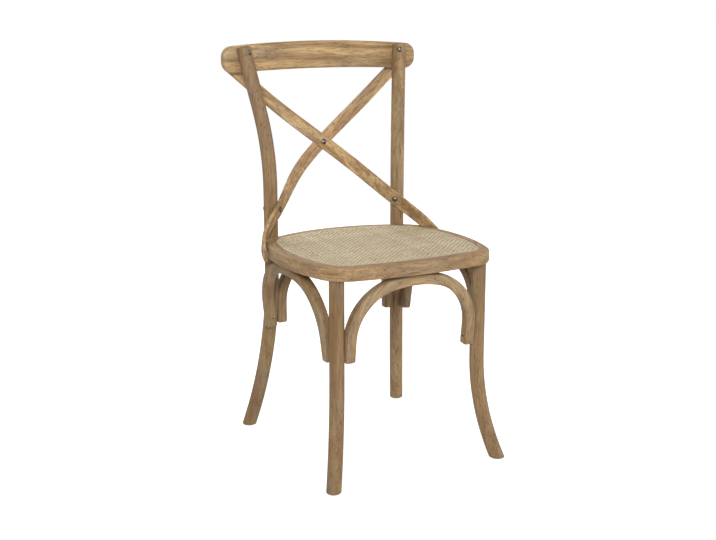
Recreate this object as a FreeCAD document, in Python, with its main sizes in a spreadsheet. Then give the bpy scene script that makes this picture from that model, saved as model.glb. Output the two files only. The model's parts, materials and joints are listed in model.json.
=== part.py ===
import FreeCAD, Part
import math
import os
import Sketcher
from FreeCAD import Placement, Rotation, Vector

# Cross back chair: bent round posts and legs, four arches, a seat ring with a cane panel,
# a crest rail and two crossed straps. Millimetres, +Z up, front towards -Y, floor at Z = 0.

doc = FreeCAD.newDocument("cross_back_chair")
sheet = doc.addObject("Spreadsheet::Sheet", "Dimensions")

# Driving dimensions: alias, value, meaning.
DRIVING = [
    ("floor_glide_thickness", 3, "plastic glide under each foot"),
    ("floor_glide_diameter", 25, "glide, a little under the foot's own diameter"),
    ("glide_nail_diameter", 2.4, "nail moulded into the glide"),
    ("glide_nail_length", 14, "how far the nail goes up into the foot"),
    ("foot_overlength", 14, "bars run on below the floor before their feet are cut level"),
    ("fit_clearance", 0.1, "radial room around every shank and tenon"),
    # rear posts, bent in the upright plane that points out and back
    ("post_diameter", 32, "rear post"),
    ("post_half_spread", 164.8, "centre plane to the straight part of a post"),
    ("post_setback", 153.7, "straight part of a post behind the origin"),
    ("post_splay_angle", 58.3, "bending plane, from +X towards +Y"),
    ("post_length_up", 890, "height of the post's top end"),
    ("post_foot_reach", 74, "foot, out along the bending plane"),
    ("post_knee_height", 202, "where the lower bend's tangents meet"),
    ("post_knee_radius", 1060, "lower bend"),
    ("post_hip_height", 667, "where the upper bend's tangents meet"),
    ("post_hip_radius", 630, "upper bend"),
    ("post_top_reach", 67, "top end, out along the bending plane"),
    ("post_top_rounding", 5, "edge of the post's top end"),
    # front legs, bent out and forward near the floor
    ("leg_diameter", 32, "front leg"),
    ("leg_half_spread", 172.5, "centre plane to the upright part of a leg"),
    ("leg_setforward", 189, "upright part of a leg in front of the origin"),
    ("leg_splay_angle", 55.2, "bending plane, from +X towards -Y"),
    ("leg_foot_reach", 55, "foot, out along the bending plane"),
    ("leg_knee_height", 115, "where the bend's tangents meet"),
    ("leg_knee_radius", 520, "bend"),
    ("tenon_diameter", 19, "turned end of the leg"),
    ("tenon_length", 18, "up into the seat ring"),
    # seat ring, an outline of eight arcs
    ("seat_height", 469, "top of the seat ring"),
    ("ring_thickness", 28.5, "seat ring, top to bottom"),
    ("ring_width", 38, "seat ring, outside to inside"),
    ("ring_border", 24.5, "ring's top, outside to the spline's groove"),
    ("ring_half_width", 226, "widest point of the outline"),
    ("ring_widest_forward", 38, "how far forward the outline is widest"),
    ("ring_front", 236, "front of the outline"),
    ("ring_rear", 179, "rear of the outline"),
    ("ring_front_radius", 900, "front edge"),
    ("ring_side_radius", 455, "side edges"),
    ("ring_rear_radius", 354, "rear edge"),
    ("ring_front_corner", 70, "front corners"),
    ("ring_rear_corner", 80, "rear corners"),
    ("ring_top_rounding", 6, "outer top edge"),
    ("ring_bottom_rounding", 4, "outer bottom edge"),
    # cane
    ("cane_thickness", 3, "woven panel, flush with the ring's top"),
    ("spline_width", 4.5, "cane spline that locks the panel"),
    ("spline_depth", 5, "its groove, from the ring's top"),
    ("spline_proud", 0.8, "how far the spline stands above the ring"),
    ("spline_rounding", 1.6, "top edges of the spline"),
    # arches
    ("arch_section", 24, "side of the arches' square section"),
    ("arch_section_rounding", 6.5, "its corners"),
    ("arch_crown_radius", 250, "centreline over the crown"),
    ("arch_shoulder_radius", 116, "centreline at the shoulders"),
    ("arch_foot_height", 262, "lower ends of the arches"),
    ("arch_foot_rounding", 4, "edges of the lower ends"),
    ("arch_half_span", 145, "centreline half width of the front arch at its feet"),
    ("rear_arch_half_span", 142, "the same for the rear arch"),
    ("side_arch_half_span", 148, "the same for the side arches"),
    ("arch_tilt", 7, "front and side arches lean out to meet the ring"),
    ("side_arch_offset", 176.5, "side arches' feet from the centre plane"),
    ("side_arch_forward", 14, "middle of the side arches in front of the origin"),
    ("rear_arch_setback", 157, "rear arch behind the origin"),
    # crest rail
    ("rail_height", 62.5, "crest rail at the middle"),
    ("rail_thickness", 22, "front to back"),
    ("rail_half_length", 246, "centre to end"),
    ("rail_plan_radius", 1900, "front face seen from above"),
    ("rail_setback", 239.1, "rail's middle plane behind the origin, at the centre"),
    ("rail_bottom", 837.5, "lower edge at the middle"),
    ("rail_top_radius", 2900, "crowned top edge in front view"),
    ("rail_low_radius", 4400, "arched lower edge in front view"),
    ("rail_end_radius", 25, "ends in front view"),
    ("rail_edge_rounding", 7, "long edges"),
    # straps
    ("strap_width", 30, "cross straps"),
    ("strap_thickness", 8, "cross straps"),
    ("strap_rounding", 2.5, "corners of their section"),
    ("cross_height", 667, "where the straps cross"),
    ("cross_setback", 221, "joint face of the crossing behind the origin"),
    ("strap_bolt_height", 531, "bolt through strap and post"),
    ("strap_bolt_turn", 42, "the strap's face there, from straight forward"),
    ("strap_run", 1.26, "straps' run to the side, from the crossing up to the shoulder"),
    ("strap_top_run", 1.225, "the same from the crossing to the crest rail"),
    ("strap_low_run", 1.215, "the same below the crossing"),
    ("strap_drop", 1, "for this much of drop"),
    ("strap_top_height", 850, "upper end of a strap, on the crest rail's back"),
    ("strap_shoulder_height", 768, "where the strap bows back most"),
    ("strap_shoulder_setback", 240.5, "the strap there, behind the origin"),
    ("strap_shoulder_turn", -20, "its face there, from straight forward"),
    ("strap_waist_height", 598, "where the strap turns forward"),
    ("strap_waist_setback", 191.6, "the strap there, behind the origin"),
    ("strap_waist_turn", 17, "its face there, from straight forward"),
    ("strap_wrap", 86, "strap's contact on the ring's side, behind the origin"),
    ("strap_end_wrap", 52, "strap's end on the ring's side, behind the origin"),
    ("strap_end_height", 445, "centre of the strap's lower end"),
    ("strap_gap", 0.2, "room between the strap and what it bears on"),
    # fasteners
    ("bolt_diameter", 6, "strap, seat, crest and cross bolts"),
    ("bolt_head_diameter", 12.5, "domed head"),
    ("bolt_head_height", 4, "domed head"),
    ("seat_bolt_bite", 24, "seat bolt's length in the ring"),
    ("crest_bolt_height", 878, "crest bolt on the post"),
    ("crest_pin_drop", 22, "pin below the crest bolt"),
    ("pin_diameter", 3, "crest pin"),
    ("pin_bite", 8, "crest pin's length in the rail"),
    ("head_rim", 1, "straight rim under a dome"),
    ("nut_sink", 2, "crest nuts, let into the rail's back"),
    ("crest_bolt_turn", 23, "crest bolts point out by this much from straight back"),
    ("screw_diameter", 4, "wood screws"),
    ("screw_head_diameter", 8, "wood screws"),
    ("screw_head_height", 2.2, "wood screws"),
    ("screw_bite", 16, "wood screws, length in the second piece"),
    ("strap_screw_bite", 14, "screws through the straps' ends, length in the second piece"),
    ("top_screw_share", 0.5, "place of the upper screw, from the strap's end to the rail's edge"),
    ("end_screw_share", 0.55, "place of the lower screw, from the ring's top to the strap's end"),
    ("arch_screw_height", 279, "screws at the arches' feet"),
]
for row, (alias, value, meaning) in enumerate(DRIVING, start=1):
    sheet.set(f"A{row}", alias)
    sheet.set(f"B{row}", str(value))
    sheet.set(f"C{row}", meaning)
    sheet.setAlias(f"B{row}", alias)

# Places that follow from the driving dimensions, as formulas in the same sheet.
DERIVED = [
    ("post_radius", "post_diameter / 2"),
    ("saw_reach", "post_diameter * 2"),
    ("bore_lead", "bolt_head_height * 3"),
    ("post_path_foot", "post_foot_reach * (post_knee_height + foot_overlength) / post_knee_height"),
    ("leg_path_foot", "leg_foot_reach * (leg_knee_height + foot_overlength) / leg_knee_height"),
    ("ring_underside", "seat_height - ring_thickness"),
    ("seat_bolt_height", "seat_height - ring_thickness / 2"),
    ("arch_half_section", "arch_section / 2"),
    ("arch_top", "(ring_underside - arch_foot_height) - arch_half_section"),
    ("front_arc_centre", "ring_front_radius - ring_front"),
    ("rear_arc_centre", "ring_rear - ring_rear_radius"),
    ("side_arc_centre", "ring_half_width - ring_side_radius"),
    ("groove_inner", "ring_border + spline_width"),
    ("groove_floor", "seat_height - spline_depth"),
    ("panel_underside", "seat_height - cane_thickness"),
    ("rail_top_centre", "rail_bottom + rail_height - rail_top_radius"),
    ("rail_low_centre", "rail_bottom - rail_low_radius"),
    ("strap_stand_off", "post_radius + strap_thickness / 2 + strap_gap"),
]
for row, (alias, formula) in enumerate(DERIVED, start=len(DRIVING) + 2):
    sheet.set(f"A{row}", alias)
    sheet.set(f"B{row}", "=" + formula)
    sheet.setAlias(f"B{row}", alias)
doc.recompute()


def size(alias):
    """Value of a cell in millimetres or degrees."""
    return float(sheet.get(alias))


def bind(obj, path, formula):
    """Tie a property or a named constraint to cells of the sheet."""
    obj.setExpression(path, formula)


def cell(alias, sign=1):
    return ("-" if sign < 0 else "") + "Dimensions." + alias


def body_plane(body, role):
    return next(f for f in body.Origin.OriginFeatures if f.Role == role)


def new_body(label):
    body = doc.addObject("PartDesign::Body", label)
    body.Label = label
    return body


def new_sketch(body, name, role):
    sketch = body.newObject("Sketcher::SketchObject", name)
    sketch.AttachmentSupport = [(body_plane(body, role), "")]
    sketch.MapMode = "FlatFace"
    return sketch


def value(formula):
    """Number that a coordinate stands for: an alias, an alias with a minus sign, or nothing for 0."""
    if not formula:
        return 0.0
    return -size(formula[1:]) if formula.startswith("-") else size(formula)


def hold_point(sketch, geometry, vertex, x_formula, y_formula):
    """Constrain a sketch point to two cells of the sheet, or to an axis where a coordinate is 0."""
    for formula, kind, axis in ((x_formula, "DistanceX", -2), (y_formula, "DistanceY", -1)):
        if not formula:
            sketch.addConstraint(Sketcher.Constraint("PointOnObject", geometry, vertex, axis))
            continue
        index = sketch.addConstraint(
            Sketcher.Constraint(kind, -1, 1, geometry, vertex, value(formula)))
        sign = -1 if formula.startswith("-") else 1
        bind(sketch, f"Constraints[{index}]", cell(formula.lstrip("-"), sign))


def hold_radius(sketch, geometry, formula):
    index = sketch.addConstraint(Sketcher.Constraint("Radius", geometry, 1.0 * size(formula)))
    bind(sketch, f"Constraints[{index}]", cell(formula))
    return index


def arc_between(centre, start, end):
    """Shorter arc about a centre from one point to another, as a circle's counter-clockwise arc."""
    radius = (start - centre).Length
    first = math.atan2(start.y - centre.y, start.x - centre.x)
    last = math.atan2(end.y - centre.y, end.x - centre.x)
    turn = (last - first) % (2 * math.pi)
    swapped = turn > math.pi
    if swapped:
        first, last = last, first
    circle = Part.Circle(centre, Vector(0, 0, 1), radius)
    return Part.ArcOfCircle(circle, first, last), swapped


def bent_path(body, name, corners, radii):
    """Straight runs through the corners, in the body's XZ plane, with a tangent arc at each bend."""
    sketch = new_sketch(body, name, "XZ_Plane")
    points = [Vector(value(x), value(z), 0) for x, z in corners]
    guides = [sketch.addGeometry(Part.LineSegment(a, b), True) for a, b in zip(points, points[1:])]
    for before, after in zip(guides, guides[1:]):
        sketch.addConstraint(Sketcher.Constraint("Coincident", before, 2, after, 1))
    for guide, (x, z) in zip(guides, corners):
        hold_point(sketch, guide, 1, x, z)
    hold_point(sketch, guides[-1], 2, *corners[-1])

    run_start = points[0]
    pieces = []
    for corner, before, after, radius in zip(points[1:-1], points, points[2:], radii):
        back = (before - corner).normalize()
        ahead = (after - corner).normalize()
        half_turn = (math.pi - back.getAngle(ahead)) / 2
        reach = size(radius) * math.tan(half_turn)
        bend_start = corner + back * reach
        bend_end = corner + ahead * reach
        centre = corner + (back + ahead).normalize() * (size(radius) / math.cos(half_turn))
        pieces.append((Part.LineSegment(run_start, bend_start), 1, 2, None))
        arc, swapped = arc_between(centre, bend_start, bend_end)
        pieces.append((arc, 2 if swapped else 1, 1 if swapped else 2, radius))
        run_start = bend_end
    pieces.append((Part.LineSegment(run_start, points[-1]), 1, 2, None))

    added = [(sketch.addGeometry(shape, False), first, last, radius)
             for shape, first, last, radius in pieces]
    for (one, _, one_end, _), (two, two_start, _, _) in zip(added, added[1:]):
        sketch.addConstraint(Sketcher.Constraint("Tangent", one, one_end, two, two_start))
    for geometry, _, _, radius in added:
        if radius:
            hold_radius(sketch, geometry, radius)
    runs = [geometry for geometry, _, _, radius in added if not radius]
    for run, guide in zip(runs, guides):
        for vertex in (1, 2):
            is_first = run == runs[0] and vertex == 1
            is_last = run == runs[-1] and vertex == 2
            if not (is_first or is_last):
                sketch.addConstraint(Sketcher.Constraint("PointOnObject", run, vertex, guide))
    sketch.addConstraint(Sketcher.Constraint("Coincident", runs[0], 1, guides[0], 1))
    sketch.addConstraint(Sketcher.Constraint("Coincident", runs[-1], 2, guides[-1], 2))
    return sketch


def round_bar(body, path, diameter):
    """Sweep a round section along a path; the section stands square to the path's first run."""
    section = body.newObject("Sketcher::SketchObject", "Section")
    section.AttachmentSupport = [(path, "Edge1")]
    section.MapMode = "NormalToEdge"
    circle = section.addGeometry(Part.Circle(Vector(), Vector(0, 0, 1), size(diameter) / 2), False)
    section.addConstraint(Sketcher.Constraint("Coincident", circle, 3, -1, 1))
    index = section.addConstraint(Sketcher.Constraint("Diameter", circle, size(diameter)))
    bind(section, f"Constraints[{index}]", cell(diameter))
    pipe = body.newObject("PartDesign::AdditivePipe", "Bar")
    pipe.Profile = section
    pipe.Spine = (path, [""])
    pipe.Mode = "Standard"
    return pipe


def cut_level(body, sketch_x):
    """Saw the foot off level, on top of its floor glide."""
    sketch = new_sketch(body, "SawLine", "XY_Plane")
    bind(sketch, "AttachmentOffset.Base.z", cell("floor_glide_thickness"))
    centre = Vector(value(sketch_x), 0, 0)
    circle = sketch.addGeometry(Part.Circle(centre, Vector(0, 0, 1), size("saw_reach")), False)
    hold_point(sketch, circle, 3, sketch_x, "")
    hold_radius(sketch, circle, "saw_reach")
    saw = body.newObject("PartDesign::Pocket", "LevelFoot")
    saw.Profile = sketch
    saw.Length = 1.0
    bind(saw, "Length", cell("saw_reach"))
    return saw


def edges_that(feature, test):
    """Names of a feature's edges that pass a test."""
    return [f"Edge{i}" for i, edge in enumerate(feature.Shape.Edges, start=1) if test(edge)]


def round_edges(body, name, base, edges, radius):
    fillet = body.newObject("PartDesign::Fillet", name)
    fillet.Base = (base, edges)
    fillet.Radius = size(radius)
    bind(fillet, "Radius", cell(radius))
    return fillet


def place(obj, x, y, z, rotation):
    """Put a sub-part at three formulas of the sheet, turned by a rotation."""
    obj.Placement = Placement(Vector(), rotation)
    for axis, formula in zip("xyz", (x, y, z)):
        if formula:
            bind(obj, f"Placement.Base.{axis}", formula)


def about_z(degrees):
    return Rotation(Vector(0, 0, 1), degrees)


# Left rear post: two bends in one upright plane, foot sawn level, top edge eased.
post = new_body("left_rear_post_bar")
post_path = bent_path(
    post, "PostBend",
    [("post_path_foot", "-foot_overlength"), ("", "post_knee_height"),
     ("", "post_hip_height"), ("post_top_reach", "post_length_up")],
    ["post_knee_radius", "post_hip_radius"])
doc.recompute()
round_bar(post, post_path, "post_diameter")
foot = cut_level(post, "post_foot_reach")
doc.recompute()
top_edges = edges_that(foot, lambda e: e.CenterOfMass.z > size("post_length_up") - 1 and e.Closed)
round_edges(post, "TopRounding", foot, top_edges, "post_top_rounding")
place(post, cell("post_half_spread", -1), cell("post_setback"), "",
      about_z(180 - size("post_splay_angle")))
bind(post, "Placement.Rotation.Angle", "180 - Dimensions.post_splay_angle")

# Left front leg: upright, bent out near the floor, with a turned tenon into the seat ring.
leg = new_body("left_front_leg_bar")
leg_path = bent_path(
    leg, "LegBend",
    [("leg_path_foot", "-foot_overlength"), ("", "leg_knee_height"), ("", "ring_underside")],
    ["leg_knee_radius"])
doc.recompute()
round_bar(leg, leg_path, "leg_diameter")
cut_level(leg, "leg_foot_reach")
tenon = leg.newObject("PartDesign::AdditiveCylinder", "Tenon")
bind(tenon, "Radius", "Dimensions.tenon_diameter / 2")
bind(tenon, "Height", cell("tenon_length"))
bind(tenon, "Placement.Base.z", cell("ring_underside"))
place(leg, cell("leg_half_spread", -1), cell("leg_setforward", -1), "",
      about_z(180 + size("leg_splay_angle")))
bind(leg, "Placement.Rotation.Angle", "180 + Dimensions.leg_splay_angle")


def arch_path(body, half_span):
    """Two upright ends, two shoulder arcs and a crown arc, in the body's XZ plane."""
    sketch = new_sketch(body, "ArchBend", "XZ_Plane")
    span, crown = size(half_span), size("arch_crown_radius")
    shoulder = size("arch_shoulder_radius")
    crown_centre = Vector(0, size("arch_top") - crown, 0)
    across = span - shoulder
    rise = math.sqrt((crown - shoulder) ** 2 - across ** 2)
    shoulder_centre = crown_centre + Vector(across, rise, 0)
    meet = crown_centre + (shoulder_centre - crown_centre).normalize() * crown
    spring = Vector(span, shoulder_centre.y, 0)

    def mirrored(v):
        return Vector(-v.x, v.y, 0)

    left_end = sketch.addGeometry(Part.LineSegment(Vector(-span, 0, 0), mirrored(spring)), False)
    left_arc = sketch.addGeometry(
        arc_between(mirrored(shoulder_centre), mirrored(meet), mirrored(spring))[0], False)
    top_arc = sketch.addGeometry(arc_between(crown_centre, meet, mirrored(meet))[0], False)
    right_arc = sketch.addGeometry(arc_between(shoulder_centre, spring, meet)[0], False)
    right_end = sketch.addGeometry(Part.LineSegment(spring, Vector(span, 0, 0)), False)
    for joint in ((left_end, 2, left_arc, 2), (left_arc, 1, top_arc, 2),
                  (top_arc, 1, right_arc, 2), (right_arc, 1, right_end, 1)):
        sketch.addConstraint(Sketcher.Constraint("Tangent", *joint))
    sketch.addConstraint(Sketcher.Constraint("Vertical", left_end))
    sketch.addConstraint(Sketcher.Constraint("Vertical", right_end))
    hold_point(sketch, left_end, 1, "-" + half_span, "")
    hold_point(sketch, right_end, 2, half_span, "")
    hold_radius(sketch, top_arc, "arch_crown_radius")
    hold_radius(sketch, left_arc, "arch_shoulder_radius")
    hold_radius(sketch, right_arc, "arch_shoulder_radius")
    sketch.addConstraint(Sketcher.Constraint("PointOnObject", top_arc, 3, -2))
    index = sketch.addConstraint(
        Sketcher.Constraint("DistanceY", -1, 1, top_arc, 3, crown_centre.y))
    bind(sketch, f"Constraints[{index}]", "Dimensions.arch_top - Dimensions.arch_crown_radius")
    return sketch


def rounded_square(sketch, side, corner):
    """Square section with rounded corners, centred on the sketch's origin."""
    half, radius = size(side) / 2, size(corner)
    flat = half - radius
    lines, arcs = [], []
    for turn in range(4):
        spin = Rotation(Vector(0, 0, 1), 90 * turn)
        line = Part.LineSegment(spin.multVec(Vector(-flat, -half, 0)),
                                spin.multVec(Vector(flat, -half, 0)))
        lines.append(sketch.addGeometry(line, False))
        centre = spin.multVec(Vector(flat, -flat, 0))
        first = math.radians(-90 + 90 * turn)
        arc = Part.ArcOfCircle(Part.Circle(centre, Vector(0, 0, 1), radius), first,
                               first + math.pi / 2)
        arcs.append(sketch.addGeometry(arc, False))
    for turn in range(4):
        sketch.addConstraint(Sketcher.Constraint("Tangent", lines[turn], 2, arcs[turn], 1))
        sketch.addConstraint(Sketcher.Constraint("Tangent", arcs[turn], 2, lines[(turn + 1) % 4], 1))
    for line, kind in zip(lines, ("Horizontal", "Vertical", "Horizontal", "Vertical")):
        sketch.addConstraint(Sketcher.Constraint(kind, line))
    hold_radius(sketch, arcs[0], corner)
    for arc in arcs[1:3]:
        sketch.addConstraint(Sketcher.Constraint("Equal", arcs[0], arc))
    for line, vertex, kind, sign in ((lines[0], 1, "DistanceY", -1), (lines[2], 1, "DistanceY", 1),
                                     (lines[1], 1, "DistanceX", 1), (lines[3], 1, "DistanceX", -1)):
        index = sketch.addConstraint(Sketcher.Constraint(kind, -1, 1, line, vertex, sign * half))
        bind(sketch, f"Constraints[{index}]", cell(side, sign) + " / 2")


def bent_arch(label, half_span):
    """Square bar bent to an inverted U, feet at the body's origin level, crown up."""
    body = new_body(label)
    path = arch_path(body, half_span)
    doc.recompute()
    section = body.newObject("Sketcher::SketchObject", "ArchSection")
    section.AttachmentSupport = [(path, "Edge1")]
    section.MapMode = "NormalToEdge"
    rounded_square(section, "arch_section", "arch_section_rounding")
    pipe = body.newObject("PartDesign::AdditivePipe", "ArchBar")
    pipe.Profile = section
    pipe.Spine = (path, [""])
    pipe.Mode = "Standard"
    doc.recompute()
    feet = edges_that(pipe, lambda e: abs(e.BoundBox.ZMax) < 1e-6 and abs(e.BoundBox.ZMin) < 1e-6)
    round_edges(body, "FootRounding", pipe, feet, "arch_foot_rounding")
    return body


front_arch_bar = bent_arch("front_arch_bar", "arch_half_span")
place(front_arch_bar, "", cell("leg_setforward", -1), cell("arch_foot_height"),
      Rotation(Vector(1, 0, 0), size("arch_tilt")))
bind(front_arch_bar, "Placement.Rotation.Angle", cell("arch_tilt"))
rear_arch_bar = bent_arch("rear_arch_bar", "rear_arch_half_span")
place(rear_arch_bar, "", cell("rear_arch_setback"), cell("arch_foot_height"), Rotation())
side_arch_bar = bent_arch("left_side_arch_bar", "side_arch_half_span")
place(side_arch_bar, cell("side_arch_offset", -1), cell("side_arch_forward", -1),
      cell("arch_foot_height"), about_z(-90) * Rotation(Vector(1, 0, 0), size("arch_tilt")))


def inner_tangent_centre(centre_a, radius_a, centre_b, radius_b, radius, rightwards_up):
    """Centre of a corner arc that lies inside two circles and touches both."""
    reach_a, reach_b = radius_a - radius, radius_b - radius
    between = centre_b - centre_a
    gap = between.Length
    along = (reach_a ** 2 - reach_b ** 2 + gap ** 2) / (2 * gap)
    off = math.sqrt(reach_a ** 2 - along ** 2)
    unit = between / gap
    side = Vector(-unit.y, unit.x, 0)
    one = centre_a + unit * along + side * off
    two = centre_a + unit * along - side * off
    return max((one, two), key=lambda c: c.x * 1.0 + (c.y if rightwards_up else -c.y))


def seat_outline(sketch, inset):
    """Eight tangent arcs of the seat, drawn in from the outside by an inset formula or nothing."""
    drop = value(inset)
    front = Vector(0, size("front_arc_centre"), 0)
    rear = Vector(0, size("rear_arc_centre"), 0)
    side = Vector(size("side_arc_centre"), -size("ring_widest_forward"), 0)
    radii = {"front": size("ring_front_radius") - drop, "side": size("ring_side_radius") - drop,
             "rear": size("ring_rear_radius") - drop,
             "front_corner": size("ring_front_corner") - drop,
             "rear_corner": size("ring_rear_corner") - drop}
    corner_f = inner_tangent_centre(side, radii["side"], front, radii["front"],
                                    radii["front_corner"], False)
    corner_r = inner_tangent_centre(side, radii["side"], rear, radii["rear"],
                                    radii["rear_corner"], True)

    def touch(big, small, radius):
        return big + (small - big).normalize() * radius

    def flip(v):
        return Vector(-v.x, v.y, 0)

    front_touch = touch(front, corner_f, radii["front"])
    side_low = touch(side, corner_f, radii["side"])
    side_high = touch(side, corner_r, radii["side"])
    rear_touch = touch(rear, corner_r, radii["rear"])
    arcs = [(front, flip(front_touch), front_touch), (corner_f, front_touch, side_low),
            (side, side_low, side_high), (corner_r, side_high, rear_touch),
            (rear, rear_touch, flip(rear_touch)), (flip(corner_r), flip(rear_touch), flip(side_high)),
            (flip(side), flip(side_high), flip(side_low)),
            (flip(corner_f), flip(side_low), flip(front_touch))]
    ids = [sketch.addGeometry(arc_between(*arc)[0], False) for arc in arcs]
    for one, two in zip(ids, ids[1:] + ids[:1]):
        sketch.addConstraint(Sketcher.Constraint("Tangent", one, 2, two, 1))
    names = ["ring_front_radius", "ring_front_corner", "ring_side_radius", "ring_rear_corner",
             "ring_rear_radius", "ring_rear_corner", "ring_side_radius", "ring_front_corner"]
    for arc, name in zip(ids, names):
        index = sketch.addConstraint(Sketcher.Constraint("Radius", arc, size(name) - drop))
        bind(sketch, f"Constraints[{index}]", cell(name) + (" - " + cell(inset) if inset else ""))
    hold_point(sketch, ids[0], 3, "", "front_arc_centre")
    hold_point(sketch, ids[4], 3, "", "rear_arc_centre")
    hold_point(sketch, ids[2], 3, "side_arc_centre", "-ring_widest_forward")
    hold_point(sketch, ids[6], 3, "-side_arc_centre", "-ring_widest_forward")
    return ids


def seat_layer(body, kind, name, inset_outer, level, height, inset_inner=None):
    """Pad or pocket along the seat outline, upwards from a level."""
    sketch = new_sketch(body, name + "Outline", "XY_Plane")
    bind(sketch, "AttachmentOffset.Base.z", level)
    seat_outline(sketch, inset_outer)
    if inset_inner is not None:
        seat_outline(sketch, inset_inner)
    feature = body.newObject("PartDesign::" + kind, name)
    feature.Profile = sketch
    feature.Length = 1.0
    bind(feature, "Length", height)
    if kind == "Pocket":
        feature.Reversed = True
    doc.recompute()
    return feature


# Seat ring: one bent band, open inside, with a groove for the spline and a ledge for the panel.
ring = new_body("seat_ring_band")
band = seat_layer(ring, "Pad", "Band", "", cell("ring_underside"), cell("ring_thickness"),
                  "ring_width")
OUTER_ARCS = ("ring_front_radius", "ring_side_radius", "ring_rear_radius", "ring_front_corner",
              "ring_rear_corner")
outer_radii = [size(name) for name in OUTER_ARCS]


def outer_edge_at(level):
    def test(edge):
        flat = edge.BoundBox.ZLength < 1e-4 and abs(edge.CenterOfMass.z - level) < 1e-4
        return flat and min(abs(edge.Curve.Radius - r) for r in outer_radii) < 1e-3
    return test


top_round = round_edges(ring, "TopRounding", band,
                        edges_that(band, outer_edge_at(size("seat_height"))),
                        "ring_top_rounding")
doc.recompute()
round_edges(ring, "BottomRounding", top_round,
            edges_that(top_round, outer_edge_at(size("ring_underside"))),
            "ring_bottom_rounding")
doc.recompute()
seat_layer(ring, "Pocket", "SplineGroove", "ring_border", cell("groove_floor"),
           cell("ring_thickness"), "groove_inner")
seat_layer(ring, "Pocket", "PanelLedge", "groove_inner", cell("panel_underside"),
           cell("ring_thickness"))

# Woven cane panel and the cane spline wedged round it.
panel = new_body("cane_panel")
seat_layer(panel, "Pad", "Panel", "groove_inner", cell("panel_underside"), cell("cane_thickness"))
cane_spline = new_body("cane_spline")
spline_pad = seat_layer(cane_spline, "Pad", "Spline", "ring_border", cell("groove_floor"),
                        "Dimensions.spline_depth + Dimensions.spline_proud", "groove_inner")
top_level = size("seat_height") + size("spline_proud")
round_edges(cane_spline, "SplineRounding", spline_pad,
            edges_that(spline_pad, lambda e: e.BoundBox.ZMin > top_level - 1e-3),
            "spline_rounding")

# Crest rail: a band bent in plan, sawn to a crowned outline, long edges rounded.
rail = new_body("crest_rail_band")
plan = new_sketch(rail, "PlanCurve", "XY_Plane")
bind(plan, "AttachmentOffset.Base.z", "Dimensions.rail_bottom - Dimensions.rail_height")


def rail_plan(sketch):
    """Two arcs about one centre and two straight ends, seen from above."""
    centre = Vector(0, -size("rail_plan_radius"), 0)
    reach = size("rail_half_length") + size("rail_thickness")
    faces = []
    for sign in (-1, 1):
        radius = size("rail_plan_radius") + sign * size("rail_thickness") / 2
        drop = centre.y + math.sqrt(radius ** 2 - reach ** 2)
        arc = arc_between(centre, Vector(reach, drop, 0), Vector(-reach, drop, 0))[0]
        geometry = sketch.addGeometry(arc, False)
        index = sketch.addConstraint(Sketcher.Constraint("Radius", geometry, radius))
        half = (" - " if sign < 0 else " + ") + cell("rail_thickness") + " / 2"
        bind(sketch, f"Constraints[{index}]", cell("rail_plan_radius") + half)
        hold_point(sketch, geometry, 3, "", "-rail_plan_radius")
        faces.append((geometry, drop))
    for vertex, x in ((1, reach), (2, -reach)):
        line = sketch.addGeometry(Part.LineSegment(Vector(x, faces[0][1], 0),
                                                   Vector(x, faces[1][1], 0)), False)
        sketch.addConstraint(Sketcher.Constraint("Coincident", line, 1, faces[0][0], vertex))
        sketch.addConstraint(Sketcher.Constraint("Coincident", line, 2, faces[1][0], vertex))
        sketch.addConstraint(Sketcher.Constraint("Vertical", line))
        index = sketch.addConstraint(Sketcher.Constraint("DistanceX", -1, 1, line, 1, x))
        sign = "-" if x < 0 else ""
        bind(sketch, f"Constraints[{index}]",
             f"{sign}(Dimensions.rail_half_length + Dimensions.rail_thickness)")


rail_plan(plan)
rail_pad = rail.newObject("PartDesign::Pad", "RailBand")
rail_pad.Profile = plan
rail_pad.Length = 1.0
bind(rail_pad, "Length", "Dimensions.rail_height * 3")
doc.recompute()


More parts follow.
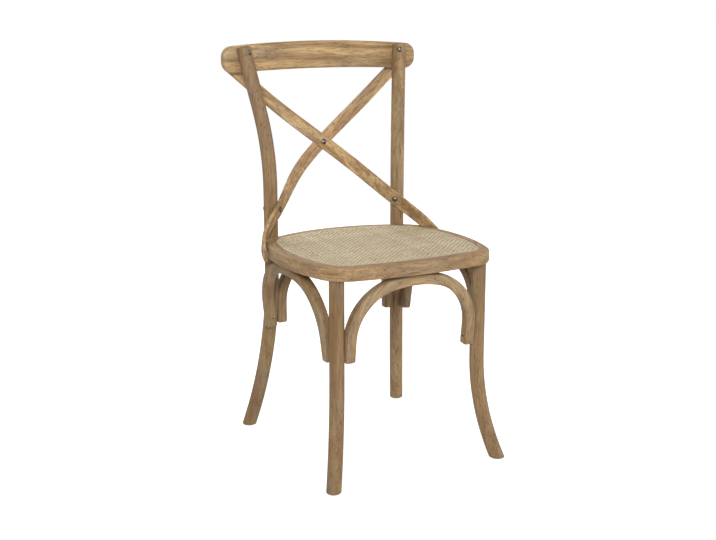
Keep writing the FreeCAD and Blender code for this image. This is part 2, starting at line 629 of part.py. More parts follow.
def rail_outline(sketch):
    """Crowned top edge, arched lower edge, upright ends and four round corners."""
    length, corner = size("rail_half_length"), size("rail_end_radius")
    top_centre = Vector(0, size("rail_top_centre"), 0)
    low_centre = Vector(0, size("rail_low_centre"), 0)
    top_radius, low_radius = size("rail_top_radius"), size("rail_low_radius")
    across = length - corner
    high = top_centre + Vector(across, math.sqrt((top_radius - corner) ** 2 - across ** 2), 0)
    low = low_centre + Vector(across, math.sqrt((low_radius + corner) ** 2 - across ** 2), 0)
    high_touch = top_centre + (high - top_centre).normalize() * top_radius
    low_touch = low_centre + (low - low_centre).normalize() * low_radius

    def flip(v):
        return Vector(-v.x, v.y, 0)

    side = Vector(corner, 0, 0)
    shapes = [
        arc_between(top_centre, high_touch, flip(high_touch))[0],
        arc_between(flip(high), flip(high_touch), flip(high + side))[0],
        Part.LineSegment(flip(high + side), flip(low + side)),
        arc_between(flip(low), flip(low + side), flip(low_touch))[0],
        arc_between(low_centre, low_touch, flip(low_touch))[0],
        arc_between(low, low_touch, low + side)[0],
        Part.LineSegment(low + side, high + side),
        arc_between(high, high + side, high_touch)[0],
    ]
    ids = [sketch.addGeometry(shape, False) for shape in shapes]
    joints = [(0, 2, 1, 1), (1, 2, 2, 1), (2, 2, 3, 1), (3, 2, 4, 2),
              (4, 1, 5, 1), (5, 2, 6, 1), (6, 2, 7, 1), (7, 2, 0, 1)]
    for one, one_end, two, two_end in joints:
        sketch.addConstraint(
            Sketcher.Constraint("Tangent", ids[one], one_end, ids[two], two_end))
    for line in (2, 6):
        sketch.addConstraint(Sketcher.Constraint("Vertical", ids[line]))
    for corner_arc in (1, 3, 5, 7):
        hold_radius(sketch, ids[corner_arc], "rail_end_radius")
    hold_radius(sketch, ids[0], "rail_top_radius")
    hold_radius(sketch, ids[4], "rail_low_radius")
    hold_point(sketch, ids[0], 3, "", "rail_top_centre")
    hold_point(sketch, ids[4], 3, "", "rail_low_centre")
    for line, x, formula in ((6, length, "Dimensions.rail_half_length"),
                             (2, -length, "-Dimensions.rail_half_length")):
        index = sketch.addConstraint(Sketcher.Constraint("DistanceX", -1, 1, ids[line], 1, x))
        bind(sketch, f"Constraints[{index}]", formula)
    return ids


outline = new_sketch(rail, "FrontOutline", "XZ_Plane")
rail_outline(outline)
margin = size("rail_half_length") * 2
below, above = size("rail_bottom") - margin, size("rail_bottom") + margin
corners = [Vector(-margin, below, 0), Vector(margin, below, 0), Vector(margin, above, 0),
           Vector(-margin, above, 0)]
frame_lines = [outline.addGeometry(Part.LineSegment(a, b), False)
               for a, b in zip(corners, corners[1:] + corners[:1])]
for one, two in zip(frame_lines, frame_lines[1:] + frame_lines[:1]):
    outline.addConstraint(Sketcher.Constraint("Coincident", one, 2, two, 1))
for line in frame_lines:
    outline.addConstraint(Sketcher.Constraint("Block", line))
saw = rail.newObject("PartDesign::Pocket", "SawnOutline")
saw.Profile = outline
saw.Type = "ThroughAll"
saw.SideType = "Symmetric"
doc.recompute()


def along_a_face(edge):
    """True for the edges that run along the rail's front or back, not across its thickness."""
    crosswise = edge.Curve.TypeId == "Part::GeomLine" and abs(edge.tangentAt(edge.FirstParameter).y) > 0.9
    return edge.Length > size("rail_thickness") and not crosswise


round_edges(rail, "RailRounding", saw, edges_that(saw, along_a_face), "rail_edge_rounding")
place(rail, "", cell("rail_setback"), "", Rotation())
doc.recompute()


def shape_feature(label, shape):
    """Sub-part whose shape is worked out below from the sheet's values."""
    feature = doc.addObject("Part::Feature", label)
    feature.Label = label
    feature.Shape = shape
    return feature


def flip_x(shape):
    return shape.mirror(Vector(), Vector(1, 0, 0))


def azimuth(degrees):
    """Level unit vector, 0 towards the front, turning towards +X."""
    angle = math.radians(degrees)
    return Vector(math.sin(angle), -math.cos(angle), 0)


def outline_normal(y):
    """Point and outward normal of the seat ring's left side at a place along Y."""
    centre = Vector(-size("side_arc_centre"), -size("ring_widest_forward"), 0)
    radius = size("ring_side_radius")
    point = Vector(centre.x - math.sqrt(radius ** 2 - (y - centre.y) ** 2), y, 0)
    return point, (point - centre).normalize()


post_axis = Vector(-size("post_half_spread"), size("post_setback"), 0)
post_out = azimuth(270 - size("post_splay_angle"))
post_lean = math.degrees(math.atan2(size("post_top_reach"),
                                    size("post_length_up") - size("post_hip_height")))


def post_point(height):
    """Left post's centreline: upright, or on the straight run up to its top end."""
    reach = max(0.0, (height - size("post_hip_height")) * math.tan(math.radians(post_lean)))
    return post_axis + post_out * reach + Vector(0, 0, height)


def rail_back(x, clear):
    """Place behind the crest rail's back face, clear of it, and the way that face looks."""
    radius = size("rail_plan_radius") + size("rail_thickness") / 2 + clear
    y = size("rail_setback") - size("rail_plan_radius") + math.sqrt(radius ** 2 - x ** 2)
    return y, math.degrees(math.asin(x / radius))


def strap_stations(joint_side):
    """Centreline of the strap from the crest rail's right back to the ring's left side.

    Each station is a point and the level direction that the strap's front face looks in.
    """
    half = size("strap_thickness") / 2
    clear = half + size("strap_gap")
    slope = size("strap_run") / size("strap_drop")
    top_slope = size("strap_top_run") / size("strap_drop")
    low_slope = size("strap_low_run") / size("strap_drop")
    stations = []
    for height in (size("strap_top_height"), size("rail_bottom")):
        x = (height - size("cross_height")) * top_slope
        y, turn = rail_back(x, clear)
        stations.append((Vector(x, y, height), -turn))
    height = size("strap_shoulder_height")
    x = (height - size("cross_height")) * slope
    stations.append((Vector(x, size("strap_shoulder_setback"), height),
                     size("strap_shoulder_turn")))
    stations.append((Vector(0, size("cross_setback") + joint_side * half,
                            size("cross_height")), 0))
    height = size("strap_waist_height")
    x = (height - size("cross_height")) * low_slope
    stations.append((Vector(x, size("strap_waist_setback"), height),
                     size("strap_waist_turn")))
    turn = size("strap_bolt_turn")
    stations.append((post_axis + azimuth(turn) * size("strap_stand_off")
                     + Vector(0, 0, size("strap_bolt_height")), turn))
    for y, height in ((size("strap_wrap"), size("seat_height")),
                      (size("strap_end_wrap"), size("strap_end_height"))):
        point, normal = outline_normal(y)
        turn = math.degrees(math.atan2(-normal.x, normal.y))
        stations.append((point + normal * clear + Vector(0, 0, height), turn))
    return stations


def section_wire(centre, across, face):
    """Rectangle with eased corners: width along one direction, thickness along the other."""
    corner = size("strap_rounding")
    flat_u, flat_v = size("strap_width") / 2 - corner, size("strap_thickness") / 2 - corner
    points = []
    for quarter, (side_u, side_v) in enumerate(((1, 1), (-1, 1), (-1, -1), (1, -1))):
        for eighth in range(3):
            angle = math.radians(90 * quarter + 45 * eighth)
            u = side_u * flat_u + corner * math.cos(angle)
            v = side_v * flat_v + corner * math.sin(angle)
            points.append(centre + across * u + face * v)
    return Part.Wire([Part.LineSegment(a, b).toShape()
                      for a, b in zip(points, points[1:] + points[:1])])


def strap_shape(joint_side):
    """Flat bar that follows the stations, turning its face from one to the next."""
    stations = strap_stations(joint_side)
    wires = []
    for segment in range(len(stations) - 1):
        for share in (0.0, 0.5):
            wires.append(strap_section(stations, segment, share))
    wires.append(strap_section(stations, len(stations) - 2, 1.0))
    return Part.makeLoft(wires, True, False)


def strap_place(stations, segment, share):
    """Strap's centre, its run and the way its front face looks, part way along a segment."""
    curve = Part.BSplineCurve()
    curve.interpolate(Points=[point for point, _ in stations])
    (start, turn), (stop, next_turn) = stations[segment:segment + 2]
    first, last = curve.parameter(start), curve.parameter(stop)
    spot = first + (last - first) * share
    along = Vector(*curve.tangent(spot)[0])
    face = azimuth(turn + (next_turn - turn) * share)
    return curve.value(spot), along, (face - along * face.dot(along)).normalize()


def strap_section(stations, segment, share):
    centre, along, face = strap_place(stations, segment, share)
    return section_wire(centre, face.cross(along).normalize(), face)


rear_strap_bar = shape_feature("rear_strap_bar", strap_shape(1))
front_strap_bar = shape_feature("front_strap_bar", flip_x(strap_shape(-1)))


def turned(corners, dome_top=None):
    """Solid turned about Z from corner points (radius, height), closed by a dome at the top."""
    points = [Vector(r, 0, z) for r, z in corners]
    edges = [Part.LineSegment(a, b).toShape() for a, b in zip(points, points[1:])]
    if dome_top is not None:
        rim, top = points[-1], Vector(0, 0, dome_top)
        rise = dome_top - rim.z
        ball = (rim.x ** 2 + rise ** 2) / (2 * rise)
        angle = math.asin(min(1.0, rim.x / ball)) / 2
        middle = Vector(ball * math.sin(angle), 0, dome_top - ball * (1 - math.cos(angle)))
        edges.append(Part.Arc(rim, middle, top).toShape())
        points.append(top)
    edges.append(Part.LineSegment(points[-1], points[0]).toShape())
    return Part.Face(Part.Wire(edges)).revolve(Vector(), Vector(0, 0, 1), 360)


def bolt_shape(length):
    """Domed head above Z = 0, shank below."""
    head, shank, rim = size("bolt_head_diameter") / 2, size("bolt_diameter") / 2, size("head_rim")
    return turned([(0, -length), (shank, -length), (shank, 0), (head, 0), (head, rim)],
                  size("bolt_head_height"))


def nut_shape():
    head, rim = size("bolt_head_diameter") / 2, size("head_rim")
    return turned([(0, 0), (head, 0), (head, rim)], size("bolt_head_height"))


def screw_shape(length):
    """Low domed head above Z = 0, pointed shank below."""
    head, shank = size("screw_head_diameter") / 2, size("screw_diameter") / 2
    rim = size("head_rim") / 2
    return turned([(0, -length), (shank, shank * 2 - length), (shank, 0), (head, 0), (head, rim)],
                  size("screw_head_height"))


def pin_shape(length):
    return Part.makeCylinder(size("pin_diameter") / 2, length, Vector(0, 0, -length))


def aimed(shape, seat, into):
    """Copy of a fastener with its head's underside at a seat and its shank pointing into the wood."""
    copy = shape.copy()
    copy.Placement = Placement(seat, Rotation(Vector(0, 0, -1), into))
    return copy


def bore(seat, into, length, diameter, sunk_head=0.0):
    """Room for a shank, from outside its seat, and for a head that is let in where one is given."""
    room, lead = size("fit_clearance"), size("bore_lead")
    tool = Part.makeCylinder(diameter / 2 + room, length + lead, seat - into * lead, into)
    if sunk_head:
        tool = tool.fuse(Part.makeCylinder(sunk_head / 2 + room, lead, seat, into * -1))
    return tool


bores = []
groups = {}


def add(node, shape, *room):
    """File a fastener under its node and keep its bore for the wooden pieces."""
    groups.setdefault(node, []).append(shape)
    bores.extend(room)


bolt_width, head_width = size("bolt_diameter"), size("bolt_head_diameter")
screw_width = size("screw_diameter")
# A flat head on a round bar is let in until its rim meets the bar.
head_sink = size("post_radius") - math.sqrt(size("post_radius") ** 2 - (head_width / 2) ** 2)


def through_bolt(node, nut_node, seat, into, length):
    """Bolt and domed nut on both sides of a pair of pieces."""
    add(node, aimed(bolt_shape(length), seat, into), bore(seat, into, length, bolt_width, head_width))
    far = seat + into * length
    add(nut_node, aimed(nut_shape(), far, into * -1),
        bore(far, into * -1, length, bolt_width, head_width))


# Crest bolts and pins, from the front of each post through the rail.
crest_way = azimuth(180 + size("crest_bolt_turn"))
seat_point = post_point(size("crest_bolt_height")) - crest_way * (size("post_radius") - head_sink)
back_radius = size("rail_plan_radius") + size("rail_thickness") / 2
back_centre = Vector(0, size("rail_setback") - size("rail_plan_radius"), seat_point.z)
offset = seat_point - back_centre
forward = offset.dot(crest_way)
crest_length = -forward + math.sqrt(forward ** 2 - offset.Length ** 2 + back_radius ** 2)
through_bolt("crest_bolts", "crest_bolt_nuts", seat_point, crest_way,
             crest_length - size("nut_sink"))

pin_level = size("crest_bolt_height") - size("crest_pin_drop")
pin_seat = post_point(pin_level) - crest_way * size("post_radius")
pin_length = size("post_diameter") + size("pin_bite")
add("crest_pins", aimed(pin_shape(pin_length), pin_seat, crest_way),
    bore(pin_seat, crest_way, pin_length, size("pin_diameter")))

# Strap bolts, from the strap's face through the post.
strap_way = azimuth(size("strap_bolt_turn")) * -1
strap_face = post_axis - strap_way * (size("strap_stand_off") + size("strap_thickness") / 2)
strap_grip = size("strap_thickness") + size("strap_gap") + size("post_diameter") - head_sink
through_bolt("strap_bolts", "strap_bolt_nuts", strap_face + Vector(0, 0, size("strap_bolt_height")),
             strap_way, strap_grip)

# Seat bolts, from behind each post into the ring.
seat_grip = size("post_diameter") - head_sink + size("seat_bolt_bite")
seat_from = post_axis + post_out * (size("post_radius") - head_sink)
seat_from.z = size("seat_bolt_height")
add("seat_bolts", aimed(bolt_shape(seat_grip), seat_from, post_out * -1),
    bore(seat_from, post_out * -1, seat_grip, bolt_width, head_width))

# Screws through the straps' ends, square to their faces.
screw_length = size("strap_thickness") + size("strap_screw_bite")
rear_stations = strap_stations(1)
for node, segment, share in (("strap_top_screws", 0, size("top_screw_share")),
                             ("strap_end_screws", 6, size("end_screw_share"))):
    centre, _, face = strap_place(rear_stations, segment, share)
    if node == "strap_top_screws":
        centre, face = flip_x(Part.Vertex(centre)).Point, Vector(-face.x, face.y, face.z)
    head_seat = centre - face * (size("strap_thickness") / 2)
    add(node, aimed(screw_shape(screw_length), head_seat, face),
        bore(head_seat, face, screw_length, screw_width))

# Screws at the feet of the arches, from their hollow sides into legs and posts.
arch_screw = size("arch_section") + size("screw_bite")
screw_rise = size("arch_screw_height") - size("arch_foot_height")
lean = screw_rise * math.tan(math.radians(size("arch_tilt")))
half_section = size("arch_half_section")
level = size("arch_screw_height")
outward = Vector(-1, 0, 0)
feet = [
    (Vector(half_section - size("arch_half_span"), -size("leg_setforward") - lean, level),
     outward),
    (Vector(half_section - size("rear_arch_half_span"), size("rear_arch_setback"), level),
     outward),
]
side_x = -size("side_arch_offset") - lean
for sign in (-1, 1):
    y = sign * (size("side_arch_half_span") - half_section) - size("side_arch_forward")
    feet.append((Vector(side_x, y, level), Vector(0, sign, 0)))
for foot_seat, into in feet:
    add("arch_end_screws", aimed(screw_shape(arch_screw), foot_seat, into),
        bore(foot_seat, into, arch_screw, screw_width))

# Floor glides, each with a nail up into the foot.
glide = turned([(0, 0), (size("floor_glide_diameter") / 2, 0),
                (size("floor_glide_diameter") / 2, size("floor_glide_thickness")),
                (size("glide_nail_diameter") / 2, size("floor_glide_thickness")),
                (size("glide_nail_diameter") / 2, size("glide_nail_length")),
                (0, size("glide_nail_length"))])
leg_axis = Vector(-size("leg_half_spread"), -size("leg_setforward"), 0)
leg_out = azimuth(size("leg_splay_angle") - 90)
left_feet = [post_axis + post_out * size("post_foot_reach"),
             leg_axis + leg_out * size("leg_foot_reach")]
for left_foot in left_feet:
    piece = glide.copy()
    piece.translate(left_foot)
    add("floor_glides", piece,
        bore(left_foot, Vector(0, 0, 1), size("glide_nail_length"), size("glide_nail_diameter")))

# Everything so far stands on the left and is repeated on the right.
for node in list(groups):
    groups[node] += [flip_x(shape) for shape in groups[node]]
bores += [flip_x(tool) for tool in bores]

# Crown screws, up through the arches into the ring.
crown_rise = size("arch_top") - half_section


def crown_screw(body):
    turn = body.Placement
    up = turn.Rotation.multVec(Vector(0, 0, 1))
    seat = turn.multVec(Vector(0, 0, crown_rise))
    add("arch_top_screws", aimed(screw_shape(arch_screw), seat, up),
        bore(seat, up, arch_screw, screw_width))
    return seat, up


crown_screw(front_arch_bar)
crown_screw(rear_arch_bar)
side_seat, side_up = crown_screw(side_arch_bar)
right_seat = Vector(-side_seat.x, side_seat.y, side_seat.z)
right_up = Vector(-side_up.x, side_up.y, side_up.z)
add("arch_top_screws", aimed(screw_shape(arch_screw), right_seat, right_up),
    bore(right_seat, right_up, arch_screw, screw_width))

# One bolt where the straps cross, square to both.
cross_face = strap_place(rear_stations, 3, 0.0)[2]
cross_way = Vector(0, -cross_face.y, -cross_face.z).normalize()
joint = Vector(0, size("cross_setback"), size("cross_height"))
through_bolt("cross_bolt", "cross_bolt_nut", joint - cross_way * size("strap_thickness"), cross_way,
             2 * size("strap_thickness"))

all_bores = shape_feature("fastener_bores", Part.makeCompound(bores))
doc.recompute()


def fitted(label, base, *neighbours):
    """Base with its neighbours' shapes and the fasteners' bores cut away."""
    result = base
    for number, tool in enumerate(neighbours + (all_bores,)):
        cut = doc.addObject("Part::Cut", f"{label}_fit{number}")
        cut.Base = result
        cut.Tool = tool
        result = cut
    result.Label = label
    return result


def right_of(label, source):
    """Mirror image of a left-hand piece."""
    mirror = doc.addObject("Part::Mirroring", label)
    mirror.Label = label
    mirror.Source = source
    mirror.Normal = Vector(1, 0, 0)
    return mirror


left_post = fitted("left_rear_post", post, rear_strap_bar)
right_post_bar = right_of("right_rear_post_bar", post)
right_post = fitted("right_rear_post", right_post_bar, front_strap_bar)
left_leg = fitted("left_front_leg", leg)
right_leg = right_of("right_front_leg", left_leg)
right_leg_bar = right_of("right_front_leg_bar", leg)
seat = fitted("seat_ring", ring, post, right_post_bar, leg, right_leg_bar, rear_strap_bar,
              front_strap_bar)
crest = fitted("crest_rail", rail, post, right_post_bar)
front_strap = fitted("cross_strap_front", front_strap_bar)
rear_strap = fitted("cross_strap_rear", rear_strap_bar, front_strap_bar)
front_arch = fitted("front_arch", front_arch_bar, ring, leg, right_leg_bar)
rear_arch = fitted("rear_arch", rear_arch_bar, ring, post, right_post_bar)
left_arch = fitted("left_side_arch", side_arch_bar, ring, leg, post)
right_arch = right_of("right_side_arch", left_arch)
pieces = [left_post, right_post, left_leg, right_leg, seat, crest, front_strap, rear_strap,
          front_arch, rear_arch, left_arch, right_arch, panel, cane_spline]
pieces += [shape_feature(node, Part.makeCompound(shapes)) for node, shapes in groups.items()]
doc.recompute()

failed = [obj.Label for obj in doc.Objects if "Invalid" in obj.State or "Error" in obj.State]
broken = [piece.Label for piece in pieces if piece.Shape.isNull() or not piece.Shape.isValid()]
if failed or broken:
    raise RuntimeError(f"failed: {failed}, not valid: {broken}")

os.makedirs("parts", exist_ok=True)
for piece in pieces:
    piece.Shape.exportStep(f"parts/{piece.Label}.step")
    print(piece.Label, len(piece.Shape.Solids), round(piece.Shape.Volume))
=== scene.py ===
# %% [markdown]
# # A cross back dining chair
#
# This notebook dresses a bentwood chair: round bent posts and legs, four arched braces, a seat
# ring with a woven cane panel, a curved crest rail, and two flat straps that cross in the back.
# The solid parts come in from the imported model, each already in its place and at its real size
# in metres. What is left for us is what the eye wants: oak that follows each bend, real strands
# of cane, and dark metal on the bolts.

# %% Load the chair's frame
import json
import math
import bpy
import bmesh
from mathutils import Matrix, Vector
from mathutils.bvhtree import BVHTree


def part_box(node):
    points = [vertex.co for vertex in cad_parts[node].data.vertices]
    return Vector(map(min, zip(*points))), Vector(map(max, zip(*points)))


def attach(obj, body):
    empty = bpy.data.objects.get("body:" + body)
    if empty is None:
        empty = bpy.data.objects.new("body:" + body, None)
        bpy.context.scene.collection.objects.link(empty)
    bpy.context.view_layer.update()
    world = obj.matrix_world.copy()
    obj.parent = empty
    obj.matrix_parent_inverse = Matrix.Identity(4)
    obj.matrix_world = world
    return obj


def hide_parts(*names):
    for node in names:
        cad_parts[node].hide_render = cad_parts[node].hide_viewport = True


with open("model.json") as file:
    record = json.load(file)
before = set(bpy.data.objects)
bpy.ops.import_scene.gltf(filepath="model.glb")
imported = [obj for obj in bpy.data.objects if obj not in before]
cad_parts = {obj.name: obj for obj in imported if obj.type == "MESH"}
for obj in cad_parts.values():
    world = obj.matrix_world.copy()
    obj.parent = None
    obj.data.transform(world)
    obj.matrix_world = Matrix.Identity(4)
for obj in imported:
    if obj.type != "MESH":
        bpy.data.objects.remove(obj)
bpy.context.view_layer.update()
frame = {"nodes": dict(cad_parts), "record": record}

# %% [markdown]
# ## Where the camera stands
#
# A camera can be placed by dragging it about until the picture looks right, or from numbers.
# Here the numbers were worked out from the level and upright lines of the chair, so they are
# typed in. The lens and the sensor width set the angle of view. The camera looks along its own
# -Z axis, and `to_track_quat` finds the turn that points that axis the way we want while
# keeping the picture level.

# %% Camera
camera_data = bpy.data.cameras.new("chair_camera")
camera_data.sensor_width = 36.0
camera_data.lens = 57.39
camera_data.dof.use_dof = False
camera = bpy.data.objects.new("chair_camera", camera_data)
bpy.context.scene.collection.objects.link(camera)
camera.location = (-1.1872, -2.1885, 0.9912)
looking = Vector((0.4571, 0.8590, -0.2302))
camera.rotation_mode = "QUATERNION"
camera.rotation_quaternion = looking.to_track_quat("-Z", "Y")
bpy.context.scene.camera = camera
bpy.context.scene.view_settings.view_transform = "Standard"
print("camera", round(camera.location.length, 2), "m from the chair's foot")

# %% [markdown]
# ## Plain studio light
#
# A cut-out picture on white has soft light from all round and one broad lamp that shapes the
# rounds of the posts. Soft light comes from the world's colour. The broad lamp is an area
# light up on the left, and a weaker one on the right keeps the far sides from going dark.

# %% Lamps


def area_lamp(name, place, aim, wide, watts):
    """Square soft lamp at a place, pointed at another."""
    data = bpy.data.lights.new(name, "AREA")
    data.shape = "SQUARE"
    data.size = wide
    data.energy = watts
    lamp = bpy.data.objects.new(name, data)
    lamp.location = place
    lamp.rotation_mode = "QUATERNION"
    lamp.rotation_quaternion = (Vector(aim) - Vector(place)).to_track_quat("-Z", "Y")
    bpy.context.scene.collection.objects.link(lamp)


seat_middle = (0.0, 0.0, 0.45)
area_lamp("broad_lamp", (-1.5, -2.7, 1.9), seat_middle, 1.0, 72)
area_lamp("weak_lamp", (2.4, -1.6, 1.3), seat_middle, 1.4, 24)
area_lamp("back_lamp", (0.3, 2.4, 2.0), seat_middle, 1.5, 32)

# %% [markdown]
# ## A socket that can be added and multiplied
#
# Shader nodes do arithmetic, but wiring ten Math nodes by hand hides the sum that they do. In
# Python we can teach an object what `+` or `*` means, so a small class wraps one output socket
# and makes a Math node for each operator. After that a pattern reads like a formula.

# %% Shader arithmetic


class Reading:
    """One output socket of a node tree, with arithmetic."""

    def __init__(self, tree, socket):
        self.tree, self.socket = tree, socket

    def plug(self, target):
        self.tree.links.new(self.socket, target)

    def math(self, operation, *others):
        node = self.tree.nodes.new("ShaderNodeMath")
        node.operation = operation
        for entry, term in zip(node.inputs, (self,) + others):
            if isinstance(term, Reading):
                term.plug(entry)
            else:
                entry.default_value = term
        return Reading(self.tree, node.outputs[0])

    def __add__(self, other):
        return self.math("ADD", other)

    def __sub__(self, other):
        return self.math("SUBTRACT", other)

    def __mul__(self, other):
        return self.math("MULTIPLY", other)

    def __truediv__(self, other):
        return self.math("DIVIDE", other)

    def __neg__(self):
        return self.math("MULTIPLY", -1.0)

    __radd__, __rmul__ = __add__, __mul__

    def __rsub__(self, other):
        return -self + other

    def __abs__(self):
        return self.math("ABSOLUTE")

    def over(self, level):
        return self.math("MAXIMUM", level)

    def within(self, low, high):
        """0 below low, 1 above high, and an even rise between."""
        node = self.tree.nodes.new("ShaderNodeMapRange")
        node.clamp = True
        self.plug(node.inputs["Value"])
        node.inputs["From Min"].default_value = low
        node.inputs["From Max"].default_value = high
        return Reading(self.tree, node.outputs[0])


def ground(tree):
    """The three Object coordinates of the point being shaded, in metres."""
    coordinates = tree.nodes.new("ShaderNodeTexCoord")
    split = tree.nodes.new("ShaderNodeSeparateXYZ")
    tree.links.new(coordinates.outputs["Object"], split.inputs[0])
    return [Reading(tree, split.outputs[i]) for i in range(3)]


def noise(x, y, z, scale, detail=2.0, roughness=0.5):
    """Cloudy value about 0.5 at a place."""
    tree = x.tree
    joined = tree.nodes.new("ShaderNodeCombineXYZ")
    for entry, term in zip(joined.inputs, (x, y, z)):
        term.plug(entry)
    node = tree.nodes.new("ShaderNodeTexNoise")
    tree.links.new(joined.outputs[0], node.inputs["Vector"])
    node.inputs["Scale"].default_value = scale
    node.inputs["Detail"].default_value = detail
    node.inputs["Roughness"].default_value = roughness
    return Reading(tree, node.outputs[0])


# A Mix node holds sockets for numbers, vectors and colours at once, all with the same names, so
# the two colours that go in and the one that comes out are found by their place in its lists.
COLOUR_BELOW, COLOUR_ABOVE, COLOUR_MIXED = 6, 7, 2


def tint(below, colour, share):
    """Mix a plain colour, or another socket, over a colour by a share."""
    tree = share.tree
    node = tree.nodes.new("ShaderNodeMix")
    node.data_type = "RGBA"
    share.plug(node.inputs["Factor"])
    for entry, term in ((node.inputs[COLOUR_BELOW], below), (node.inputs[COLOUR_ABOVE], colour)):
        if isinstance(term, Reading):
            term.plug(entry)
        else:
            entry.default_value = (*term, 1.0)
    return Reading(tree, node.outputs[COLOUR_MIXED])


def finish_of(name):
    """New material, its tree and its Principled shader."""
    material = bpy.data.materials.new(name)
    material.use_nodes = True
    tree = material.node_tree
    return material, tree, tree.nodes["Principled BSDF"]


def relief(shader, height, metres):
    """Bump from a height that runs from 0 to 1."""
    bump = height.tree.nodes.new("ShaderNodeBump")
    bump.inputs["Strength"].default_value = 1.0
    bump.inputs["Distance"].default_value = metres
    height.plug(bump.inputs["Height"])
    height.tree.links.new(bump.outputs[0], shader.inputs["Normal"])


print("shader arithmetic ready")

# %% [markdown]
# ## Floor and white surroundings
#
# The floor is a wide plane. If it were only painted white, the lamps would have to be far too
# strong before it looked white. Light Path tells a shader who is asking: when it is the camera,
# or a reflection, the plane and the world answer with plain white, and everything else gets
# modest light. Part of the floor's real shading is kept, so that the chair stands in its own
# soft shadow. The plane lies half a millimetre low, so that it never meets the glides' faces.

# %% Floor and world


def asked_by_eye(tree):
    """1 where a ray comes from the camera, a reflection or through glass."""
    path = tree.nodes.new("ShaderNodeLightPath")
    camera_ray, glossy, through = (
        Reading(tree, path.outputs[name])
        for name in ("Is Camera Ray", "Is Glossy Ray", "Is Transmission Ray"))
    return (camera_ray + glossy + through).math("MINIMUM", 1.0)


world = bpy.data.worlds.new("studio")
bpy.context.scene.world = world
world.use_nodes = True
sky = world.node_tree.nodes["Background"]
sky.inputs["Color"].default_value = (1.0, 1.0, 1.0, 1.0)
SOFT_LIGHT = 0.34
(asked_by_eye(world.node_tree) * (1.0 - SOFT_LIGHT) + SOFT_LIGHT).plug(sky.inputs["Strength"])

FLOOR_REACH = 30.0
FLOOR_DROP = 0.0005
floor_mesh = bpy.data.meshes.new("floor")
shape = bmesh.new()
bmesh.ops.create_grid(shape, x_segments=1, y_segments=1, size=FLOOR_REACH)
shape.to_mesh(floor_mesh)
shape.free()
floor = bpy.data.objects.new("floor", floor_mesh)
floor.location.z = -FLOOR_DROP
bpy.context.scene.collection.objects.link(floor)

floor_paint, tree, shader = finish_of("floor_paint")
shader.inputs["Base Color"].default_value = (0.78, 0.78, 0.78, 1.0)
shader.inputs["Roughness"].default_value = 0.9
shader.inputs["Specular IOR Level"].default_value = 0.0
shader.inputs["Emission Color"].default_value = (1.0, 1.0, 1.0, 1.0)
FLOOR_LIFT = 0.74
(asked_by_eye(tree) * FLOOR_LIFT).plug(shader.inputs["Emission Strength"])
floor_mesh.materials.append(floor_paint)
print("floor laid")

# %% [markdown]
# ## Oak that follows the bend
#
# The chair is steam-bent oak with a thin, greyed finish. Wood looks wrong at once when its
# grain runs across a bend, and a picture of wood wrapped on would do just that. So each piece
# gets three distances worked out from its place: one along the fibres and two across them. On
# a post the fibres run up. On an arch they run up the legs and round the crown, so the distance
# across is how far a point lies from the arch's centre. On the seat ring they run round it.
#
# The same recipe then paints every piece: broad tone, growth rings stretched along the fibres,
# short dark pores, and a thin pale wash that the finish leaves in places.

# %% Grain directions
ARCH_SPRING = 0.322
ARCH_MEAN_RADIUS = 0.13
SIDE_ARCH_SHIFT = 0.014
RING_MIDDLE = -0.035
RING_MEAN_RADIUS = 0.2
STRAP_RUN, STRAP_DROP = 0.760, 0.650


def grain_up(x, y, z):
    """Up a post or a leg."""
    return x, y, z


def grain_sideways(x, y, z):
    """From side to side, as in the crest rail."""
    return y, z, x


def grain_arch(across, depth, z):
    """Up the legs of an arch and round its crown."""
    rise = (z - ARCH_SPRING).over(0.0)
    reach = (across * across + rise * rise).math("SQRT")
    turn = rise.math("ARCTAN2", abs(across))
    below = z.math("MINIMUM", ARCH_SPRING)
    return reach, depth, below + turn * ARCH_MEAN_RADIUS


def grain_side_arch(x, y, z):
    """The same for the two arches that stand along the chair's sides."""
    return grain_arch(y + SIDE_ARCH_SHIFT, x, z)


def grain_ring(x, y, z):
    """Round the seat, with the joint of the bent ring at the rear."""
    y = y - RING_MIDDLE
    reach = (x * x + y * y).math("SQRT")
    return reach, z, x.math("ARCTAN2", -y) * RING_MEAN_RADIUS


def grain_strap(side):
    """Along a strap: side is 1 where it falls from the chair's left to its right."""
    def directions(x, y, z):
        along = x * (side * STRAP_RUN) - z * STRAP_DROP
        return x * (side * STRAP_DROP) + z * STRAP_RUN, y, along
    return directions


print("grain directions ready")

# %% [markdown]
# ### The oak recipe
#
# Real boards differ, so a seed shifts the pattern, a warmth makes a piece pinker or greyer, and a
# tone makes it paler or deeper. The tone is partly the wood's own colour and partly painted light
# and shade: it is set lower on the posts, the legs and the arches under the seat, and higher on
# the rail and the straps. Colours here are linear values: they are darker as numbers than they
# look.

# %% Oak
OAK_LIGHT = (0.560, 0.385, 0.180)
OAK_DARK = (0.190, 0.100, 0.040)
OAK_PINK = (0.440, 0.262, 0.155)
OAK_GREY = (0.340, 0.278, 0.205)
PORE_BROWN = (0.085, 0.046, 0.022)
SEED_STEPS = (0.37, 0.21, 0.53)
OAK_RELIEF = 0.00035


